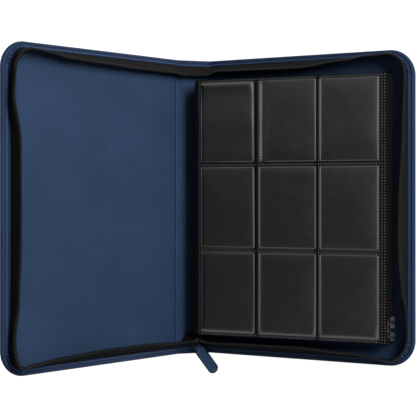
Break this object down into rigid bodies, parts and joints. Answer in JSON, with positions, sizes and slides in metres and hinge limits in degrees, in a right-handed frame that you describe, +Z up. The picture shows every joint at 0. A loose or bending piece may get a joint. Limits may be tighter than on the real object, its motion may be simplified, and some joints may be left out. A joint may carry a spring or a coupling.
{
  "type": "trading card binder",
  "caption": "Zip-round binder with hinged covers, a spine, a slider with a pull tab, and turning leaves of side-loading card pockets.",
  "frame": {"origin": "centre of the back cover's underside, where the open binder lies on a table", "axes": "+X across the back cover towards its free edge, +Y towards its top, +Z up"},
  "size_m": [0.3528, 0.3688, 0.2692],
  "materials": {
    "leather_skin": "matt grained navy",
    "leather_lining": "matt fine-grained navy",
    "pressed_board": "pressed grey paper board",
    "woven_tape": "black woven polyester",
    "nylon_coil": "black nylon",
    "page_film": "black film, glossy pockets",
    "slider_metal": "black enamel"
  },
  "bodies": {
    "back_cover": {"back_outer_skin": "leather_skin", "back_board": "pressed_board", "back_lining": "leather_lining", "back_zipper_tape": "woven_tape", "back_zipper_coil": "nylon_coil", "binding_block": "page_film", "binding_cloth": "woven_tape"},
    "spine": {"spine_outer_skin": "leather_skin", "spine_board": "pressed_board", "spine_lining": "leather_lining", "spine_top_tape": "woven_tape", "spine_bottom_gusset": "woven_tape", "zipper_chain_start": "nylon_coil"},
    "front_cover": {"front_outer_skin": "leather_skin", "front_board": "pressed_board", "front_lining": "leather_lining", "front_zipper_tape": "woven_tape", "front_zipper_coil": "nylon_coil"},
    "slider": {"slider_body": "slider_metal", "slider_bridge": "slider_metal"},
    "pull_ring": {"pull_ring": "slider_metal"},
    "pull_tab": {"pull_tab": "leather_skin"},
    "leaf_01": {"leaf_01": "page_film"},
    "leaf_02": {"leaf_02": "page_film"},
    "leaf_03": {"leaf_03": "page_film"},
    "leaf_04": {"leaf_04": "page_film"},
    "leaf_05": {"leaf_05": "page_film"},
    "leaf_06": {"leaf_06": "page_film"},
    "leaf_07": {"leaf_07": "page_film"},
    "leaf_08": {"leaf_08": "page_film"},
    "leaf_09": {"leaf_09": "page_film"},
    "leaf_10": {"leaf_10": "page_film"},
    "leaf_11": {"leaf_11": "page_film"},
    "leaf_12": {"leaf_12": "page_film"},
    "leaf_13": {"leaf_13": "page_film"},
    "leaf_14": {"leaf_14": "page_film"},
    "leaf_15": {"leaf_15": "page_film"},
    "leaf_16": {"leaf_16": "page_film"},
    "leaf_17": {"leaf_17": "page_film"},
    "leaf_18": {"leaf_18": "page_film"},
    "leaf_19": {"leaf_19": "page_film"},
    "leaf_20": {"leaf_20": "page_film"}
  },
  "joints": [
    {"name": "spine_hinge", "type": "hinge", "parent": "back_cover", "child": "spine", "pos_m": [-0.125, 0, 0.00354], "axis": [0, -1, 0], "range_deg": [-45, 45]},
    {"name": "front_cover_hinge", "type": "hinge", "parent": "spine", "child": "front_cover", "pos_m": [-0.15187, 0, 0.03041], "axis": [0, -1, 0], "range_deg": [-62, 28]},
    {"name": "slider_travel", "type": "slide", "parent": "spine", "child": "slider", "axis": [0.7071, 0, 0.7071], "range_m": [0, 0.006]},
    {"name": "pull_ring_swing", "type": "hinge", "parent": "slider", "child": "pull_ring", "pos_m": [-0.131, -0.15767, 0.02441], "axis": [-0.7071, 0, 0.7071], "range_deg": [-22, 67]},
    {"name": "pull_tab_turn", "type": "hinge", "parent": "pull_ring", "child": "pull_tab", "pos_m": [-0.13141, -0.16183, 0.024], "axis": [0.7002, -0.1392, 0.7002], "range_deg": [-72, 3]},
    {"name": "leaf_01_turn", "type": "hinge", "parent": "back_cover", "child": "leaf_01", "pos_m": [-0.12198, 0, 0.03568], "axis": [0, -1, 0], "range_deg": [0, 118]},
    {"name": "leaf_02_turn", "type": "hinge", "parent": "back_cover", "child": "leaf_02", "pos_m": [-0.1217, 0, 0.03408], "axis": [0, -1, 0], "range_deg": [0, 87.02]},
    {"name": "leaf_03_turn", "type": "hinge", "parent": "back_cover", "child": "leaf_03", "pos_m": [-0.12142, 0, 0.03248], "axis": [0, -1, 0], "range_deg": [0, 82.64]},
    {"name": "leaf_04_turn", "type": "hinge", "parent": "back_cover", "child": "leaf_04", "pos_m": [-0.12114, 0, 0.03088], "axis": [0, -1, 0], "range_deg": [0, 78.27]},
    {"name": "leaf_05_turn", "type": "hinge", "parent": "back_cover", "child": "leaf_05", "pos_m": [-0.12086, 0, 0.02928], "axis": [0, -1, 0], "range_deg": [0, 73.89]},
    {"name": "leaf_06_turn", "type": "hinge", "parent": "back_cover", "child": "leaf_06", "pos_m": [-0.12058, 0, 0.02768], "axis": [0, -1, 0], "range_deg": [0, 69.53]},
    {"name": "leaf_07_turn", "type": "hinge", "parent": "back_cover", "child": "leaf_07", "pos_m": [-0.1203, 0, 0.02608], "axis": [0, -1, 0], "range_deg": [0, 65.15]},
    {"name": "leaf_08_turn", "type": "hinge", "parent": "back_cover", "child": "leaf_08", "pos_m": [-0.12002, 0, 0.02448], "axis": [0, -1, 0], "range_deg": [0, 60.78]},
    {"name": "leaf_09_turn", "type": "hinge", "parent": "back_cover", "child": "leaf_09", "pos_m": [-0.11974, 0, 0.02288], "axis": [0, -1, 0], "range_deg": [0, 56.41]},
    {"name": "leaf_10_turn", "type": "hinge", "parent": "back_cover", "child": "leaf_10", "pos_m": [-0.11946, 0, 0.02128], "axis": [0, -1, 0], "range_deg": [0, 52.04]},
    {"name": "leaf_11_turn", "type": "hinge", "parent": "back_cover", "child": "leaf_11", "pos_m": [-0.11918, 0, 0.01968], "axis": [0, -1, 0], "range_deg": [0, 47.66]},
    {"name": "leaf_12_turn", "type": "hinge", "parent": "back_cover", "child": "leaf_12", "pos_m": [-0.1189, 0, 0.01808], "axis": [0, -1, 0], "range_deg": [0, 43.3]},
    {"name": "leaf_13_turn", "type": "hinge", "parent": "back_cover", "child": "leaf_13", "pos_m": [-0.11862, 0, 0.01648], "axis": [0, -1, 0], "range_deg": [0, 38.93]},
    {"name": "leaf_14_turn", "type": "hinge", "parent": "back_cover", "child": "leaf_14", "pos_m": [-0.11834, 0, 0.01488], "axis": [0, -1, 0], "range_deg": [0, 34.55]},
    {"name": "leaf_15_turn", "type": "hinge", "parent": "back_cover", "child": "leaf_15", "pos_m": [-0.11806, 0, 0.01328], "axis": [0, -1, 0], "range_deg": [0, 30.19]},
    {"name": "leaf_16_turn", "type": "hinge", "parent": "back_cover", "child": "leaf_16", "pos_m": [-0.11778, 0, 0.01168], "axis": [0, -1, 0], "range_deg": [0, 25.81]},
    {"name": "leaf_17_turn", "type": "hinge", "parent": "back_cover", "child": "leaf_17", "pos_m": [-0.1175, 0, 0.01008], "axis": [0, -1, 0], "range_deg": [0, 21.44]},
    {"name": "leaf_18_turn", "type": "hinge", "parent": "back_cover", "child": "leaf_18", "pos_m": [-0.11722, 0, 0.00848], "axis": [0, -1, 0], "range_deg": [0, 17.07]},
    {"name": "leaf_19_turn", "type": "hinge", "parent": "back_cover", "child": "leaf_19", "pos_m": [-0.11694, 0, 0.00688], "axis": [0, -1, 0], "range_deg": [0, 12.7]},
    {"name": "leaf_20_turn", "type": "hinge", "parent": "back_cover", "child": "leaf_20", "pos_m": [-0.11666, 0, 0.00528], "axis": [0, -1, 0], "range_deg": [0, 8.32]}
  ],
  "couplings": [
    {"joint": "leaf_02_turn", "follows": "leaf_01_turn", "ratio": 0.7373},
    {"joint": "leaf_03_turn", "follows": "leaf_01_turn", "ratio": 0.7002},
    {"joint": "leaf_04_turn", "follows": "leaf_01_turn", "ratio": 0.6632},
    {"joint": "leaf_05_turn", "follows": "leaf_01_turn", "ratio": 0.6261},
    {"joint": "leaf_06_turn", "follows": "leaf_01_turn", "ratio": 0.5891},
    {"joint": "leaf_07_turn", "follows": "leaf_01_turn", "ratio": 0.552},
    {"joint": "leaf_08_turn", "follows": "leaf_01_turn", "ratio": 0.515},
    {"joint": "leaf_09_turn", "follows": "leaf_01_turn", "ratio": 0.4779},
    {"joint": "leaf_10_turn", "follows": "leaf_01_turn", "ratio": 0.4409},
    {"joint": "leaf_11_turn", "follows": "leaf_01_turn", "ratio": 0.4038},
    {"joint": "leaf_12_turn", "follows": "leaf_01_turn", "ratio": 0.3668},
    {"joint": "leaf_13_turn", "follows": "leaf_01_turn", "ratio": 0.3298},
    {"joint": "leaf_14_turn", "follows": "leaf_01_turn", "ratio": 0.2927},
    {"joint": "leaf_15_turn", "follows": "leaf_01_turn", "ratio": 0.2557},
    {"joint": "leaf_16_turn", "follows": "leaf_01_turn", "ratio": 0.2186},
    {"joint": "leaf_17_turn", "follows": "leaf_01_turn", "ratio": 0.1816},
    {"joint": "leaf_18_turn", "follows": "leaf_01_turn", "ratio": 0.1445},
    {"joint": "leaf_19_turn", "follows": "leaf_01_turn", "ratio": 0.1075},
    {"joint": "leaf_20_turn", "follows": "leaf_01_turn", "ratio": 0.0704}
  ]
}
